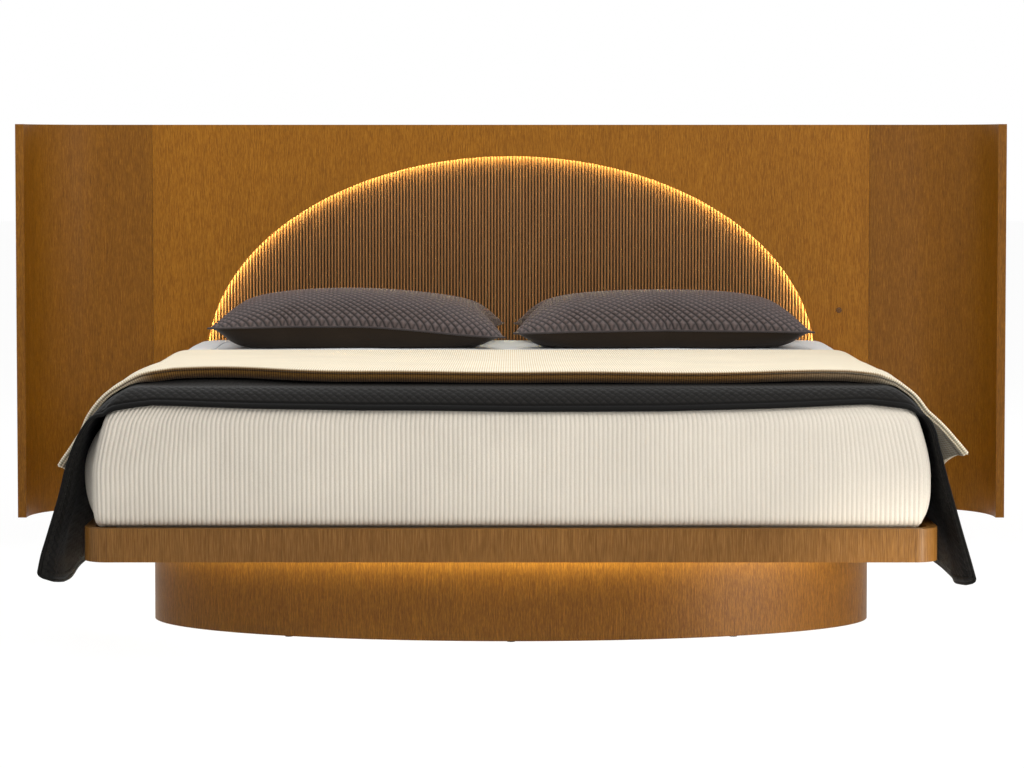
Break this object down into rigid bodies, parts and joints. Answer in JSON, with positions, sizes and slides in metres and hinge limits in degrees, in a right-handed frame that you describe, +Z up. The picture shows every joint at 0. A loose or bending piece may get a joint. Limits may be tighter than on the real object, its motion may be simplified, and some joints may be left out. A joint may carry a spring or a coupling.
{
  "type": "platform bed",
  "caption": "King platform bed: thin wood rim on a recessed bowed plinth, made up with pillows, under a wide headboard with forward-curving wings and a lit reeded arch.",
  "frame": {"origin": "centre of the bed's overall box, on the floor", "axes": "+X to the right as seen from the foot of the bed, +Y from the foot to the headboard, +Z up"},
  "size_m": [2.908, 2.16, 1.251],
  "materials": {
    "oak_panel": "satin",
    "oak_reeds": "satin",
    "oak_rim": "satin",
    "oak_plinth": "satin",
    "plywood": "matte",
    "softwood": "matte",
    "light_channel": "satin",
    "warm_diffuser": "matte",
    "driver_case": "matte",
    "cleat_metal": "satin",
    "steel": "satin",
    "black_plastic": "matte",
    "bronze": "satin",
    "mattress_cloth": "matte",
    "ivory_coverlet": "matte",
    "white_sheet": "matte",
    "black_quilt": "matte",
    "beige_wool": "matte",
    "charcoal_pillow": "satin"
  },
  "bodies": {
    "bed_frame": {"headboard_panel": "oak_panel", "wing_left": "oak_panel", "wing_right": "oak_panel", "reeds": "oak_reeds", "rail_front": "oak_rim", "rail_left": "oak_rim", "rail_right": "oak_rim", "rail_head": "oak_rim", "corner_left": "oak_rim", "corner_right": "oak_rim", "plinth_front": "oak_plinth", "plinth_left": "oak_plinth", "plinth_right": "oak_plinth", "plinth_back": "oak_plinth", "deck_panel_foot": "plywood", "deck_panel_middle": "plywood", "deck_panel_head": "plywood", "reed_backer": "plywood", "arch_spacer": "plywood", "wing_formers_left": "plywood", "wing_formers_right": "plywood", "ledger_front": "softwood", "ledger_left": "softwood", "ledger_right": "softwood", "cross_bearer_1": "softwood", "cross_bearer_2": "softwood", "cross_bearer_3": "softwood", "cross_bearer_4": "softwood", "cross_bearer_5": "softwood", "plinth_web_left": "softwood", "plinth_web_centre": "softwood", "plinth_web_right": "softwood", "back_rail_top": "softwood", "back_rail_bottom": "softwood", "seam_stile_left": "softwood", "seam_stile_right": "softwood", "rim_dowels": "softwood", "base_light_channel": "light_channel", "arch_light_channel": "light_channel", "base_light_diffuser": "warm_diffuser", "arch_light_diffuser": "warm_diffuser", "base_light_driver": "driver_case", "arch_light_driver": "driver_case", "wall_cleat": "cleat_metal", "bed_bracket_left": "steel", "bed_bracket_right": "steel", "bracket_bolts": "steel", "deck_screws": "steel", "cable_gland": "black_plastic", "switch_body": "black_plastic", "plinth_glides": "black_plastic", "switch_bezel": "bronze"},
    "mattress": {"mattress": "mattress_cloth", "coverlet": "ivory_coverlet", "sheet": "white_sheet", "foot_throw": "black_quilt", "blanket": "beige_wool"},
    "pillow_left": {"pillow_left": "charcoal_pillow"},
    "pillow_right": {"pillow_right": "charcoal_pillow"},
    "switch_button": {"switch_button": "bronze"}
  },
  "joints": [
    {"name": "switch_push", "type": "slide", "parent": "bed_frame", "child": "switch_button", "axis": [0, 1, 0], "range_m": [0, 0.0015], "stiffness_N_per_m": 300, "springref_m": -0.002},
    {"name": "mattress_lift", "type": "slide", "parent": "bed_frame", "child": "mattress", "axis": [0, 0, 1], "range_m": [0, 0.35]},
    {"name": "pillow_left_lift", "type": "slide", "parent": "mattress", "child": "pillow_left", "axis": [0, 0, 1], "range_m": [0, 0.4]},
    {"name": "pillow_right_lift", "type": "slide", "parent": "mattress", "child": "pillow_right", "axis": [0, 0, 1], "range_m": [0, 0.4]}
  ]
}
